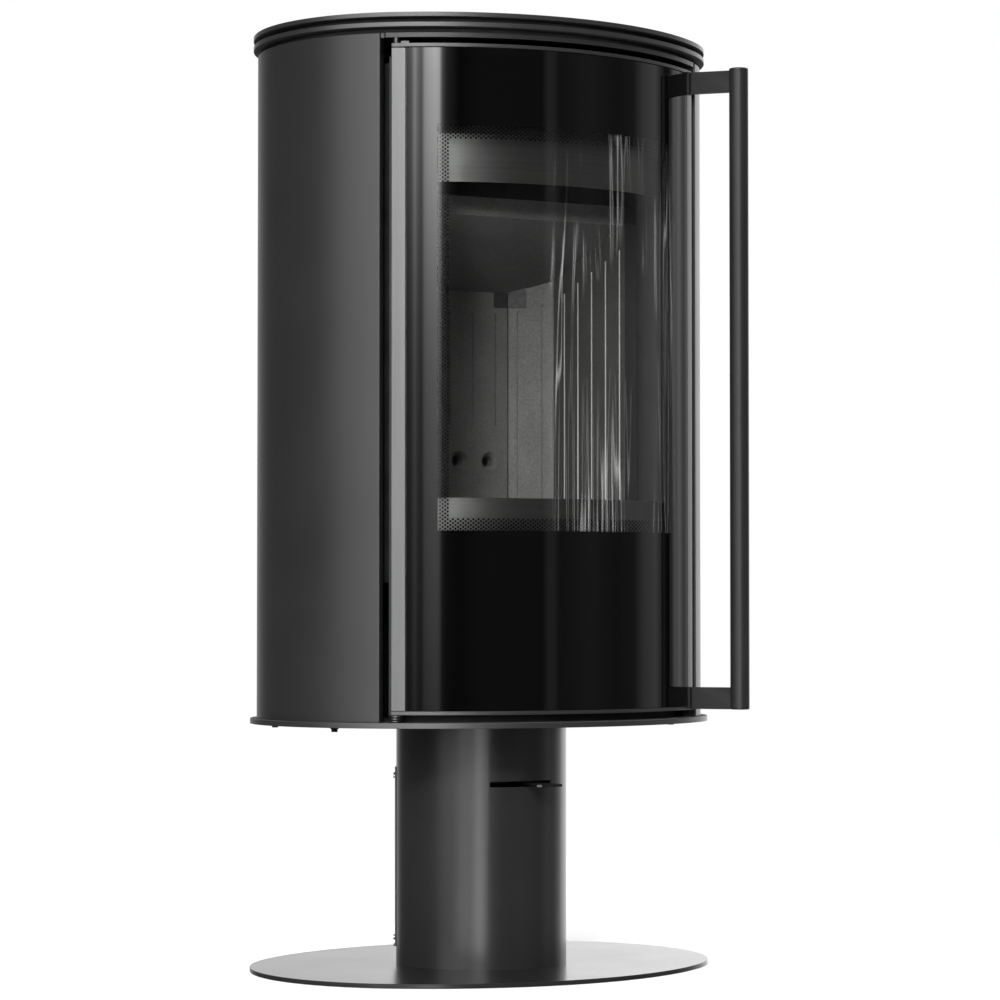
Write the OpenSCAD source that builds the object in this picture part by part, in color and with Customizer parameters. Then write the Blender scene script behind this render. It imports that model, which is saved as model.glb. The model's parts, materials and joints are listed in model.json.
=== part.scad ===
// Wood burning stove: an oval steel stove on a round pillar, with a curved glass door.
// Origin: centre of the floor plate's underside. +Z is up and the door faces -Y.

/* [Body outline] */
// Width of the painted skin
body_w = 535; // [525:1:545]
// Depth of the painted skin
body_d = 424; // [418:1:430]
// Distance from the middle to the centre of each rounded end
end_c = 85; // [82:1:88]
// How far the floor plate and the bottom plate stand out past the skin
plate_lip = 7.5; // [6:0.5:10]
// How far the two top plates stand out past the skin
top_lip = 5; // [3:0.5:7]
// Thickness of the skin panels
skin_t = 2; // [1.5:0.5:2.5]

/* [Heights] */
// Thickness of the floor plate
floor_t = 5; // [4:1:6]
// Height of the bottom plate's underside
bottom_z = 281; // [275:1:290]
// Thickness of the bottom plate
bottom_t = 6; // [5:1:7]
// Height of the skin panels
skin_h = 755; // [750:1:760]
// Thickness of the deck and the two top plates
plate_t = 5; // [4:1:5]
// Gap between the stacked top plates
plate_gap = 6; // [5:1:8]

/* [Pillar] */
// Outer radius of the pillar tube
pillar_r = 98; // [97:1:100]
// Wall of the pillar tube
pillar_t = 3; // [2:0.5:4]
// Height of the air lever's slot above the floor
slot_z = 210; // [209:1:211]
// Height of the air lever's slot opening
slot_h = 6.5; // [6:0.5:8]
// Half of the angle that the slot spans
slot_half_a = 24.4; // [24:0.2:26]

/* [Door] */
// Half width of the door at its outer edge
door_half_w = 197; // [195:1:197]
// Width of the steel strip beside the glass
strip_w = 13; // [12:1:14]
// Gap under and over the door
door_gap = 8.5; // [8:0.5:9]
// Thickness of the curved glass
glass_t = 4; // [4:1:5]
// Radius of the hinge pins
hinge_r = 4; // [3.5:0.5:4.5]

/* [Handle] */
// Outer radius of the handle tube
handle_r = 11; // [10:0.5:12]
// Handle tube centre, to the right of the middle
handle_x = 230; // [228:1:232]
// Handle tube centre, in front of the middle
handle_y = -192; // [-194:1:-190]
// Height of the flat bars that carry the handle
bar_h = 25; // [20:1:30]
// Thickness of those bars
bar_t = 6; // [5:1:8]

/* [Firebox] */
// Half width of the firebox between its side linings
fire_half_w = 164; // [160:1:164]
// Depth from the middle to the back lining
fire_back_y = 150; // [148:1:151]
// Width and depth of the 45 degree corner lining
corner_cut = 40; // [36:1:42]
// Thickness of the lining slabs
lining_t = 16; // [14:1:16]
// Pitch of the grooves in the lining
groove_pitch = 31; // [30:1:32]
// Height of the baffle's underside at the back lining
baffle_z = 794; // [790:1:800]
// Slope of the baffle
baffle_a = 18.5; // [17:0.5:19]
// Height of the baffle slab's front edge
baffle_t = 21.5; // [18:0.5:24]

/* [Flue] */
// Inner radius of the flue collar, for a 150 mm flue pipe
flue_r = 75.6; // [75.3:0.1:76]
// How far the collar stands above the top plate
flue_rise = 10; // [4:1:20]

/* [Hidden] */
$fn = 128;

// Oval: two round ends joined by two flatter arcs, all tangent
end_r = body_w / 2 - end_c;
rise = body_d / 2 - end_r;
face_k = (end_c * end_c - rise * rise) / (2 * rise);
face_r = body_d / 2 + face_k;
face_a = atan2(end_c, face_k);
end_a = 90 - face_a;
far = 900;
cut = 1;

// Levels
skin_z = bottom_z + bottom_t;
skin_top = skin_z + skin_h;
deck_z = skin_top - plate_t;
middle_z = skin_top + plate_gap;
top_z = middle_z + plate_t + plate_gap;
top_face = top_z + plate_t;
rail_t = 4;
door_z = skin_z + door_gap;
door_top = deck_z - door_gap + 2;
pane_z = door_z + rail_t + 0.5;
pane_top = door_top - rail_t - 1;
body_floor_z = 440;
plate_steel = 4;
hearth_z = body_floor_z + plate_steel;
hearth_t = 26;
firebox_h = 570;
firebox_roof_z = body_floor_z + firebox_h;

// Angles on the front arc, measured from the front's middle
function arc_a(x, off = 0) = asin(x / (face_r + off));
door_a = arc_a(door_half_w);
strip_a = arc_a(door_half_w - strip_w);
panel_front_a = acos((206.5 - end_c) / end_r);
panel_back_a = end_a - 0.4;

// Hinge axis, set back into the door's left edge
hinge_off = -5;
hinge_a = arc_a(193);
hinge_x = -(face_r + hinge_off) * sin(hinge_a);
hinge_y = face_k - (face_r + hinge_off) * cos(hinge_a);
fit = 0.05;

// Firebox plan
corner_y = fire_back_y - corner_cut;
back_half_w = fire_half_w - corner_cut;
shell_gap = 0.5;
shell_t = 3.5;
frame_in = -28;
frame_out = -24;

// Ports of the damper
port_count = 4;
port_half_a = 20;
lever_z = 211.8;
lever_t = 2.5;
duct_r = 50;

module pie(r, a0, a1) {
  mid = (a0 + a1) / 2;
  intersection() {
    circle(r = r);
    polygon([
      [0, 0],
      far * [cos(a0), sin(a0)],
      2 * far * [cos(mid), sin(mid)],
      far * [cos(a1), sin(a1)]
    ]);
  }
}

module arc_band(r0, r1, a0, a1) {
  difference() {
    pie(r1, a0, a1);
    circle(r = r0);
  }
}

// Outline of the body, grown or shrunk by off
module oval(off = 0) {
  for (s = [0, 180]) {
    rotate(s) {
      translate([end_c, 0]) pie(end_r + off, -end_a, end_a);
      translate([0, face_k]) pie(face_r + off, -90 - face_a, -90 + face_a);
    }
  }
}

// A piece of the front arc between two offsets from the skin and two angles
module front_band(in_off, out_off, a0, a1, z, h) {
  translate([0, face_k, z]) linear_extrude(h)
    arc_band(face_r + in_off, face_r + out_off, a0 - 90, a1 - 90);
}

module back_band(in_off, out_off, a0, a1, z, h) {
  rotate(180) front_band(in_off, out_off, a0, a1, z, h);
}

// The same on the right-hand end, measured from +X
module end_band(in_off, out_off, a0, a1, z, h) {
  translate([end_c, 0, z]) linear_extrude(h)
    arc_band(end_r + in_off, end_r + out_off, a0, a1);
}

module left() {
  mirror([1, 0, 0]) children();
}

// Firebox outline, grown outwards by o, open-ended towards the door
module fire_plan(o, front = -far) {
  k = sqrt(2) - 1;
  x1 = fire_half_w + o;
  y1 = corner_y + k * o;
  x2 = back_half_w + k * o;
  y2 = fire_back_y + o;
  polygon([[x1, front], [x1, y1], [x2, y2], [-x2, y2], [-x1, y1], [-x1, front]]);
}

// The space behind the firebox front frame
module behind_frame() {
  translate([0, face_k]) circle(r = face_r + frame_in);
}

module tube(r_out, r_in, z, h) {
  translate([0, 0, z]) difference() {
    cylinder(r = r_out, h = h);
    translate([0, 0, -cut]) cylinder(r = r_in, h = h + 2 * cut);
  }
}

module tube_at(x, y, r_out, r_in, z, h) {
  translate([x, y, 0]) tube(r_out, r_in, z, h);
}

module at_each(points) {
  for (p = points) translate([p[0], p[1], 0]) children();
}

// Fastener positions
foot_screws = [for (a = [45 : 90 : 315]) 80 * [cos(a), sin(a)]];
head_bolts = [for (a = [45 : 90 : 315]) 82 * [cos(a), sin(a)]];
panel_bolts = [[222, -60], [218, 95], [-222, -60], [-218, 95]];
standoffs = [[150, 60], [-150, 60], [110, -110], [-110, -110]];

/* ---------- Pillar and floor ---------- */

module floor_plate() {
  head_r = 8;
  color("dimgray") difference() {
    linear_extrude(floor_t) oval(plate_lip);
    translate([0, 0, -cut]) cylinder(r = duct_r + 1, h = floor_t + 2 * cut);
    at_each(foot_screws) {
      translate([0, 0, -cut]) cylinder(r = 4.3, h = floor_t + 2 * cut);
      translate([0, 0, -cut]) cylinder(r = head_r + 0.3, h = 3.5 + cut);
    }
  }
}

module floor_plate_screws() {
  color("gray") at_each(foot_screws) {
    translate([0, 0, 0.3]) cylinder(r = 8, h = 3);
    translate([0, 0, 2]) cylinder(r = 4, h = 13);
  }
}

module pillar_foot_ring() {
  color("dimgray") difference() {
    tube(pillar_r - pillar_t, 65, floor_t, 10);
    at_each(foot_screws) cylinder(r = 4 + fit, h = 40);
  }
}

module pillar_head_ring() {
  color("dimgray") difference() {
    tube(pillar_r - pillar_t, 66, bottom_z - 8, 8);
    at_each(head_bolts) translate([0, 0, bottom_z - 20]) cylinder(r = 4.3, h = 40);
  }
}

module pillar_head_bolts() {
  color("gray") at_each(head_bolts) {
    translate([0, 0, bottom_z - 13.5]) cylinder(r = 7.5, h = 5.5, $fn = 6);
    translate([0, 0, bottom_z - 9]) cylinder(r = 4, h = 24);
    translate([0, 0, skin_z]) difference() {
      cylinder(r = 7.5, h = 6.5, $fn = 6);
      translate([0, 0, -cut]) cylinder(r = 4 + fit, h = 9);
    }
  }
}

module pillar_tube() {
  screw_a = 60;
  color("dimgray") difference() {
    tube(pillar_r, pillar_r - pillar_t, floor_t, bottom_z - floor_t);
    // lever slot in front
    translate([0, 0, slot_z]) linear_extrude(slot_h)
      arc_band(60, pillar_r + 20, -90 - slot_half_a, -90 + slot_half_a);
    // access opening behind the rear cover
    translate([0, 0, 60]) linear_extrude(130)
      arc_band(60, pillar_r + 20, 90 - 42, 90 + 42);
    for (z = [33, 219]) for (s = [-1, 1])
      translate([0, 0, z]) rotate([0, 90, 90 + s * screw_a]) cylinder(r = 1.8, h = 200);
  }
}

module pillar_rear_cover() {
  cover_half_a = 64;
  cover_z = 23;
  cover_h = 206;
  color("dimgray") difference() {
    union() {
      translate([0, 0, cover_z]) linear_extrude(cover_h)
        arc_band(pillar_r + 0.1, pillar_r + 1.6, 90 - cover_half_a, 90 + cover_half_a);
      translate([0, 0, cover_z]) linear_extrude(2)
        arc_band(pillar_r + 0.1, pillar_r + 3.2, 90 - cover_half_a, 90 + cover_half_a);
    }
    for (z = [33, 219]) for (s = [-1, 1])
      translate([0, 0, z]) rotate([0, 90, 90 + s * 60]) cylinder(r = 1.8, h = 200);
  }
}

module rear_cover_screws() {
  color("gray") for (z = [33, 219]) for (s = [-1, 1])
    translate([0, 0, z]) rotate([0, 90, 90 + s * 60]) {
      translate([0, 0, pillar_r + 1.7]) cylinder(r = 3.2, h = 1.6);
      translate([0, 0, pillar_r - 7]) cylinder(r = 1.5, h = 9);
    }
}

/* ---------- Combustion air ---------- */

module ports() {
  for (i = [0 : port_count - 1])
    rotate(i * 360 / port_count) arc_band(16, 42, -port_half_a, port_half_a);
}

module air_duct() {
  plate_z = lever_z + lever_t + 0.4;
  color("silver") difference() {
    union() {
      translate([0, 0, plate_z]) cylinder(r = 56, h = 3);
      tube(duct_r, duct_r - 2, plate_z + 2, skin_z + 6 - plate_z - 2);
    }
    translate([0, 0, plate_z - cut]) linear_extrude(3 + 2 * cut) ports();
    translate([0, 0, plate_z - cut]) cylinder(r = hinge_r + 0.2, h = 3 + 2 * cut);
  }
}

module damper_disc() {
  tip_y = -141;
  color("silver") translate([0, 0, lever_z]) difference() {
    union() {
      cylinder(r = 58, h = lever_t);
      linear_extrude(lever_t)
        polygon([[10, -48], [-7, tip_y + 4], [-3, tip_y], [23, tip_y - 1], [26, tip_y + 3], [26, -48]]);
    }
    translate([0, 0, -cut]) linear_extrude(lever_t + 2 * cut) rotate(22) ports();
    translate([0, 0, -cut]) cylinder(r = hinge_r + fit, h = lever_t + 2 * cut);
  }
}

module damper_pivot() {
  plate_top = lever_z + lever_t + 3.4;
  color("gray") {
    translate([0, 0, lever_z - 3.4]) cylinder(r = 9, h = 3);
    translate([0, 0, lever_z - 1]) cylinder(r = hinge_r, h = 16);
    translate([0, 0, plate_top + 0.1]) difference() {
      cylinder(r = 8, h = 5, $fn = 6);
      translate([0, 0, -cut]) cylinder(r = hinge_r + fit, h = 7);
    }
  }
}

air_box_h = 93;
air_box_w = 230;
air_box_y0 = -110;
air_box_wall = 3;
shell_back_y = fire_back_y + lining_t + shell_gap + shell_t;
rear_duct_d = 13;

// Slots for primary air (behind the ash pan) and secondary air (into the rear duct)
module air_slots(z, h) {
  translate([-60, 90, z]) cube([120, 22, h]);
  translate([-60, shell_back_y + 2, z]) cube([120, rear_duct_d - 4, h]);
}

module air_box() {
  w = air_box_wall;
  depth = shell_back_y + rear_duct_d - air_box_y0;
  color("dimgray") difference() {
    translate([-air_box_w / 2, air_box_y0, skin_z]) cube([air_box_w, depth, air_box_h]);
    translate([w - air_box_w / 2, air_box_y0 + w, skin_z - cut])
      cube([air_box_w - 2 * w, depth - 2 * w, air_box_h - w + cut]);
    air_slots(skin_z + air_box_h - 2 * w, 3 * w);
  }
}

module rear_air_duct() {
  w = 220;
  wall = 2;
  z0 = skin_z + air_box_h;
  duct_top = 620;
  color("dimgray") difference() {
    translate([-w / 2, shell_back_y, z0]) cube([w, rear_duct_d, duct_top - z0]);
    translate([wall - w / 2, shell_back_y - cut, z0 - cut])
      cube([w - 2 * wall, rear_duct_d - wall + cut, duct_top - z0 - wall + cut]);
  }
}

/* ---------- Body ---------- */

module bottom_plate() {
  color("dimgray") difference() {
    translate([0, 0, bottom_z]) linear_extrude(bottom_t) oval(plate_lip);
    translate([0, 0, bottom_z - cut]) cylinder(r = duct_r + 0.5, h = bottom_t + 2 * cut);
    at_each(head_bolts) translate([0, 0, bottom_z - cut]) cylinder(r = 4.3, h = bottom_t + 2 * cut);
    at_each(panel_bolts) translate([0, 0, bottom_z - cut]) cylinder(r = 3.2, h = bottom_t + 2 * cut);
    translate([hinge_x, hinge_y, bottom_z - cut]) cylinder(r = hinge_r + fit, h = bottom_t + 2 * cut);
  }
}

module side_panel_bolts() {
  lip_top = skin_z + skin_t;
  color("gray") at_each(panel_bolts) {
    translate([0, 0, bottom_z - 6]) cylinder(r = 4, h = 3.2, $fn = 6);
    translate([0, 0, bottom_z - 3]) cylinder(r1 = 4, r2 = 6.9, h = 3);
    translate([0, 0, bottom_z - 1]) cylinder(r = 3, h = 18);
    translate([0, 0, lip_top]) difference() {
      cylinder(r = 6.2, h = 5, $fn = 6);
      translate([0, 0, -cut]) cylinder(r = 3 + fit, h = 7);
    }
  }
}

// Right-hand panel: curved skin with folded edges all round
module side_panel() {
  fold = 16;
  lip = 40;
  difference() {
    union() {
      end_band(-skin_t, 0, -panel_front_a, panel_back_a, skin_z, skin_h);
      end_band(-fold, -skin_t / 2, -panel_front_a, -panel_front_a + 0.7, skin_z, deck_z - skin_z);
      end_band(-fold, -skin_t / 2, panel_back_a - 0.7, panel_back_a, skin_z, deck_z - skin_z);
      end_band(-lip, -skin_t / 2, -panel_front_a, panel_back_a, skin_z, skin_t);
    }
    at_each(panel_bolts) translate([0, 0, skin_z - cut]) cylinder(r = 3.2, h = skin_t + 2 * cut);
  }
}

module right_side_panel() {
  color("dimgray") side_panel();
}

module left_side_panel() {
  color("dimgray") left() side_panel();
}

rear_a = face_a - 0.5;
rear_screw_rows = [skin_z + 25, skin_z + skin_h / 2, skin_top - 25];
rear_screw_a = rear_a - 2.2;

// One convection slot, cut right through the rear panel
module rear_slot(x, z) {
  slot_w = 70;
  slot_r = 3;
  translate([x, body_d / 2 - 40, z]) rotate([-90, 0, 0]) linear_extrude(60) {
    square([slot_w, 2 * slot_r], center = true);
    for (s = [-1, 1]) translate([s * slot_w / 2, 0]) circle(r = slot_r);
  }
}

module at_rear_screws() {
  for (z = rear_screw_rows) for (s = [-1, 1])
    translate([0, -face_k, z]) rotate([0, 90, 90 + s * rear_screw_a]) children();
}

module rear_panel() {
  rows = 7;
  row_pitch = 16;
  color("dimgray") difference() {
    union() {
      back_band(-skin_t, 0, -rear_a, rear_a, skin_z, skin_h);
      back_band(-14, -skin_t / 2, -rear_a, -rear_a + 0.4, skin_z, deck_z - skin_z);
      back_band(-14, -skin_t / 2, rear_a - 0.4, rear_a, skin_z, deck_z - skin_z);
    }
    for (i = [0 : rows - 1]) for (x = [-95, 0, 95]) {
      rear_slot(x, skin_z + 40 + i * row_pitch);
      rear_slot(x, skin_top - 40 - i * row_pitch);
    }
    at_rear_screws() cylinder(r = 2.2, h = 400);
  }
}

module rear_panel_screws() {
  color("gray") at_rear_screws() {
    translate([0, 0, face_r + 0.1]) cylinder(r = 4, h = 2.2);
    translate([0, 0, face_r - 9]) cylinder(r = 2, h = 10);
  }
}

module deck_plate() {
  edge_half_w = 202;
  color("dimgray") difference() {
    translate([0, 0, deck_z]) linear_extrude(plate_t) {
      oval(-skin_t - 0.3);
      intersection() {
        oval(0);
        translate([-edge_half_w, -far]) square([2 * edge_half_w, far - 100]);
      }
    }
    translate([0, 0, deck_z - cut]) cylinder(r = flue_r + 6, h = plate_t + 2 * cut);
    translate([hinge_x, hinge_y, deck_z - cut]) cylinder(r = hinge_r + fit, h = plate_t + 2 * cut);
    for (s = [-1, 1]) translate([s * 150, -40, deck_z - cut]) cylinder(r = 25, h = plate_t + 2 * cut);
    at_each(standoffs) translate([0, 0, deck_z - cut]) cylinder(r = 4.3, h = plate_t + 2 * cut);
  }
}

// Two rings that hold the top plates apart
module plate_spacers() {
  color("black") for (z = [skin_top, middle_z + plate_t])
    translate([0, 0, z]) linear_extrude(plate_gap) difference() {
      oval(-12);
      oval(-26);
    }
}

module lid_plate(z) {
  color("dimgray") translate([0, 0, z]) difference() {
    linear_extrude(plate_t) oval(top_lip);
    translate([0, 0, -cut]) cylinder(r = flue_r + 6, h = plate_t + 2 * cut);
  }
}

module middle_plate() {
  lid_plate(middle_z);
}

module top_plate() {
  lid_plate(top_z);
}

module flue_collar() {
  base = firebox_roof_z + plate_steel;
  color("dimgray") difference() {
    union() {
      translate([0, 0, base]) cylinder(r = 98, h = 5);
      translate([0, 0, base]) cylinder(r = flue_r + 4, h = top_face + flue_rise - base);
    }
    translate([0, 0, base - cut]) cylinder(r = flue_r, h = 200);
  }
}

module deck_standoffs() {
  base = firebox_roof_z + plate_steel;
  color("gray") at_each(standoffs) {
    translate([0, 0, base]) cylinder(r = 8, h = deck_z - base);
    translate([0, 0, deck_z - 1]) cylinder(r = 4, h = plate_t);
  }
}

/* ---------- Firebox ---------- */

air_hole_z = 589;
air_hole_x = [-98, -56, 56, 98];
air_hole_r = 7;

module firebox_shell() {
  color("dimgray") difference() {
    translate([0, 0, hearth_z]) linear_extrude(firebox_roof_z - hearth_z) intersection() {
      difference() {
        fire_plan(lining_t + shell_gap + shell_t);
        fire_plan(lining_t + shell_gap, -far - cut);
      }
      behind_frame();
    }
    for (x = air_hole_x) translate([x, fire_back_y, air_hole_z]) rotate([-90, 0, 0])
      cylinder(r = air_hole_r, h = 40);
  }
}

module firebox_bottom() {
  color("dimgray") difference() {
    translate([0, 0, body_floor_z]) linear_extrude(plate_steel) intersection() {
      fire_plan(lining_t + shell_gap + shell_t);
      behind_frame();
    }
    translate([-85, -95, body_floor_z - cut]) cube([170, 170, plate_steel + 2 * cut]);
  }
}

module firebox_top() {
  color("dimgray") difference() {
    translate([0, 0, firebox_roof_z]) linear_extrude(plate_steel) intersection() {
      fire_plan(lining_t + shell_gap + shell_t);
      behind_frame();
    }
    // narrower than the collar, so that the flue pipe rests on its rim
    translate([0, 0, firebox_roof_z - cut]) cylinder(r = flue_r - 3, h = plate_steel + 2 * cut);
  }
}

frame_a = arc_a(187, frame_out);

// Curved steel plate round the firebox mouth: the door's rope seals against it
module front_frame() {
  mouth_a = arc_a(168, frame_out);
  color("black") difference() {
    front_band(frame_in, frame_out, -frame_a, frame_a, hearth_z, firebox_roof_z + 10 - hearth_z);
    front_band(frame_in - 9, frame_out + 9, -mouth_a, mouth_a, 500, 425);
  }
}

// The same curve below the firebox, with the opening for the ash pan
module ash_fascia() {
  ash_mouth_a = 21;
  color("black") difference() {
    front_band(frame_in, frame_out, -frame_a, frame_a, skin_z, hearth_z - skin_z);
    front_band(frame_in - 9, frame_out + 9, -ash_mouth_a, ash_mouth_a, ash_floor_z + 1, 54);
  }
}

// Turns a plain length of lining into a slab cut off along the baffle's underside
module below_baffle(lower = 0) {
  back = 400;
  slope = tan(baffle_a);
  difference() {
    children();
    translate([-300, 0, 0]) rotate([90, 0, 90]) linear_extrude(600) polygon([
      [back, baffle_z - lower - slope * (back - fire_back_y)],
      [-back, baffle_z - lower + slope * (back + fire_back_y)],
      [-back, 1300],
      [back, 1300]
    ]);
  }
}

groove_w = 3;
groove_d = 2.6;
groove_top = 25.4;

// A vertical slab whose inner face is on the X axis, from x = 0 to w, with mitred ends.
// The grooves are cut in its inner face, which looks towards -Y.
module slab(w, miter0, miter1, grooves, groove_z, groove_h) {
  gap = 0.7;
  t = lining_t;
  difference() {
    linear_extrude(500) polygon([
      [gap, 0],
      [w - gap, 0],
      [w - gap + t * tan(miter1), t],
      [gap - t * tan(miter0), t]
    ]);
    for (x = grooves) translate([x - groove_w / 2, -cut, groove_z]) cube([groove_w, groove_d + cut, groove_h]);
  }
}

function back_grooves() = [for (i = [0 : 3]) for (s = [-1, 1]) back_half_w + s * (10 + i * 32)];

module lining_back() {
  groove_z = 632 - hearth_z;
  color("darkgray") below_baffle() difference() {
    translate([-back_half_w, fire_back_y, hearth_z])
      slab(2 * back_half_w, 22.5, 22.5, back_grooves(), groove_z, baffle_z - groove_top - 632);
    for (x = air_hole_x) translate([x, fire_back_y, air_hole_z]) rotate([-90, 0, 0]) {
      translate([0, 0, -cut]) cylinder(r = air_hole_r, h = 40);
      translate([0, 0, -0.01]) cylinder(r1 = 11.5, r2 = air_hole_r, h = 5);
    }
  }
}

module lining_corner() {
  w = corner_cut * sqrt(2);
  below_baffle() translate([back_half_w, fire_back_y, hearth_z]) rotate(-45)
    slab(w, 22.5, 22.5, [], 0, 0);
}

// The groove tops follow the baffle, so they are cut by a slanted tool
module corner_grooves() {
  w = corner_cut * sqrt(2);
  below_baffle(groove_top) translate([back_half_w, fire_back_y, hearth_z - cut]) rotate(-45)
    for (s = [-1, 1]) translate([w / 2 + s * groove_pitch / 2 - groove_w / 2, -cut, 0])
      cube([groove_w, groove_d + cut, 500]);
}

module lining_corner_right() {
  color("darkgray") difference() {
    lining_corner();
    corner_grooves();
  }
}

module lining_corner_left() {
  color("darkgray") left() difference() {
    lining_corner();
    corner_grooves();
  }
}

side_front_y = -52;

module lining_side() {
  w = corner_y - side_front_y;
  difference() {
    below_baffle() translate([fire_half_w, corner_y, hearth_z]) rotate(-90)
      slab(w, 22.5, 0, [], 0, 0);
    below_baffle(groove_top) for (i = [0 : 4])
      translate([fire_half_w - cut, corner_y - 26.2 - i * groove_pitch - groove_w / 2, hearth_z - cut])
        cube([groove_d + cut, groove_w, 500]);
  }
}

module lining_side_right() {
  color("darkgray") lining_side();
}

module lining_side_left() {
  color("darkgray") left() lining_side();
}

grate_w = 190;
grate_y0 = -105;
grate_t = 14;

// Half of the hearth: a slab beside the grate, wider in front of the side lining
module hearth_half() {
  gap = 0.7;
  translate([0, 0, hearth_z]) difference() {
    linear_extrude(hearth_t) intersection() {
      union() {
        fire_plan(-gap);
        translate([-fire_half_w - lining_t + gap, -far])
          square([2 * (fire_half_w + lining_t - gap), far + side_front_y - gap]);
      }
      translate([gap / 2, -far]) square([far, 2 * far]);
      translate([0, face_k]) circle(r = face_r + frame_in - gap);
    }
    translate([-grate_w / 2 - gap, grate_y0 - gap, -cut])
      cube([grate_w + 2 * gap, grate_w + 2 * gap, hearth_t + 2 * cut]);
  }
}

module hearth_right() {
  color("darkgray") hearth_half();
}

module hearth_left() {
  color("darkgray") left() hearth_half();
}

module grate() {
  bars = 9;
  pitch = 19;
  slot_w = 9;
  color("dimgray") translate([0, grate_y0 + grate_w / 2, hearth_z]) difference() {
    translate([-grate_w / 2, -grate_w / 2, 0]) cube([grate_w, grate_w, grate_t]);
    for (i = [0 : bars - 1]) for (s = [-1, 1])
      translate([(i - (bars - 1) / 2) * pitch - slot_w / 2, s * 42 - 36, -cut])
        cube([slot_w, 72, grate_t + 2 * cut]);
  }
}

ash_wall = 3;
ash_floor_z = skin_z + air_box_h + ash_wall;

module ash_chamber() {
  half_w = 105;
  back_y = 120;
  z0 = ash_floor_z - ash_wall;
  color("dimgray") difference() {
    translate([0, 0, z0]) linear_extrude(body_floor_z - z0) intersection() {
      translate([-half_w, -far + back_y]) square([2 * half_w, far]);
      behind_frame();
    }
    translate([ash_wall - half_w, -far, ash_floor_z])
      cube([2 * (half_w - ash_wall), far + back_y - ash_wall, 200]);
    air_slots(z0 - cut, ash_wall + 2 * cut);
  }
}

module ash_pan() {
  wall = 1.5;
  pan_w = 196;
  pan_d = 210;
  pan_h = 36;
  lip_w = 80;
  color("gray") translate([-pan_w / 2, -128, ash_floor_z]) difference() {
    union() {
      cube([pan_w, pan_d, pan_h]);
      // pull lip along the front
      translate([(pan_w - lip_w) / 2, -9, pan_h - wall]) cube([lip_w, 10, wall]);
    }
    translate([wall, wall, wall]) cube([pan_w - 2 * wall, pan_d - 2 * wall, pan_h]);
  }
}

module baffle_slab() {
  slope = tan(baffle_a);
  front_y = -48;
  back_y = fire_back_y + lining_t - 1;
  color("darkgray") intersection() {
    translate([0, 0, 700]) linear_extrude(300) fire_plan(lining_t - 1);
    translate([-300, 0, 0]) rotate([90, 0, 90]) linear_extrude(600) polygon([
      [back_y, baffle_z - slope * (back_y - fire_back_y)],
      [front_y, baffle_z + slope * (fire_back_y - front_y)],
      [front_y, baffle_z + slope * (fire_back_y - front_y) + baffle_t],
      [back_y, baffle_z - slope * (back_y - fire_back_y) + baffle_t]
    ]);
  }
}

// One bent tab that stands in the corner under the baffle
module baffle_bracket() {
  t = 2;
  back_tab = 20;
  corner_tab = 23;
  tab_h = 18;
  fold_x = corner_tab * sin(45);
  below_baffle() translate([back_half_w, fire_back_y, baffle_z - tab_h]) linear_extrude(60) polygon([
    [-back_tab, 0],
    [0, 0],
    [fold_x, -fold_x],
    [fold_x - t * sin(45), -fold_x - t * cos(45)],
    [-t * tan(22.5), -t],
    [-back_tab, -t]
  ]);
}

module baffle_brackets() {
  color("gray") {
    baffle_bracket();
    left() baffle_bracket();
  }
}

module smoke_deflector() {
  color("dimgray") translate([0, 0, 945]) linear_extrude(3) intersection() {
    fire_plan(lining_t + shell_gap);
    translate([-300, -160]) square([600, 230]);
    behind_frame();
  }
}

module air_wash_plate() {
  half_a = arc_a(141.5, frame_out);
  color("silver") front_band(frame_out, frame_out + 2, -half_a, half_a, 881, 53);
}

module log_guard() {
  half_a = arc_a(166, frame_out);
  color("silver") front_band(frame_out, frame_out + 2, -half_a, half_a, 473, 60);
}

/* ---------- Door ---------- */

module hinge_pins() {
  inside = 10;
  color("gray") translate([hinge_x, hinge_y, 0]) {
    translate([0, 0, bottom_z]) cylinder(r = hinge_r, h = door_z + rail_t + inside - bottom_z);
    translate([0, 0, door_top - rail_t - inside])
      cylinder(r = hinge_r, h = deck_z + plate_t - door_top + rail_t + inside);
  }
}

module hinge_washers() {
  count = 3;
  pitch = (door_gap - 0.3) / count;
  color("gray") translate([hinge_x, hinge_y, 0]) for (i = [0 : count - 1])
    tube(8, hinge_r + fit, skin_z + i * pitch, pitch - 0.1);
}

module pin_hole(z, h) {
  translate([hinge_x, hinge_y, z]) cylinder(r = hinge_r + fit, h = h);
}

module door_bottom_rail() {
  color("dimgray") difference() {
    front_band(-22, 0, -door_a, door_a, door_z, rail_t);
    pin_hole(door_z - cut, rail_t + 2 * cut);
  }
}

module door_top_rail() {
  color("dimgray") difference() {
    union() {
      front_band(-22, 0, -door_a, door_a, door_top - rail_t, rail_t);
      // small lug beside the hinge
      front_band(-2.5, 0, -arc_a(189), -arc_a(181), door_top - 1, 3.4);
    }
    pin_hole(door_top - rail_t - cut, rail_t + 2 * cut);
  }
}

// Channel at one side of the door: the visible strip, the edge and a ledge behind the glass
module stile() {
  ledge_a = strip_a - 1.6;
  edge_a = door_a - 0.35;
  inner_z = door_z + rail_t;
  inner_h = door_top - door_z - 2 * rail_t;
  union() {
    front_band(-3, 0, strip_a, door_a, pane_z, pane_top - pane_z);
    front_band(-22, -2.9, edge_a, door_a, inner_z, inner_h);
    front_band(-glass_t - 3.5, -glass_t - 0.5, ledge_a, door_a, inner_z, inner_h);
  }
}

module door_right_stile() {
  color("silver") stile();
}

module door_left_stile() {
  color("silver") left() difference() {
    stile();
    left() pin_hole(door_z, 30);
    left() pin_hole(door_top - 30, 30);
  }
}

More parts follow.
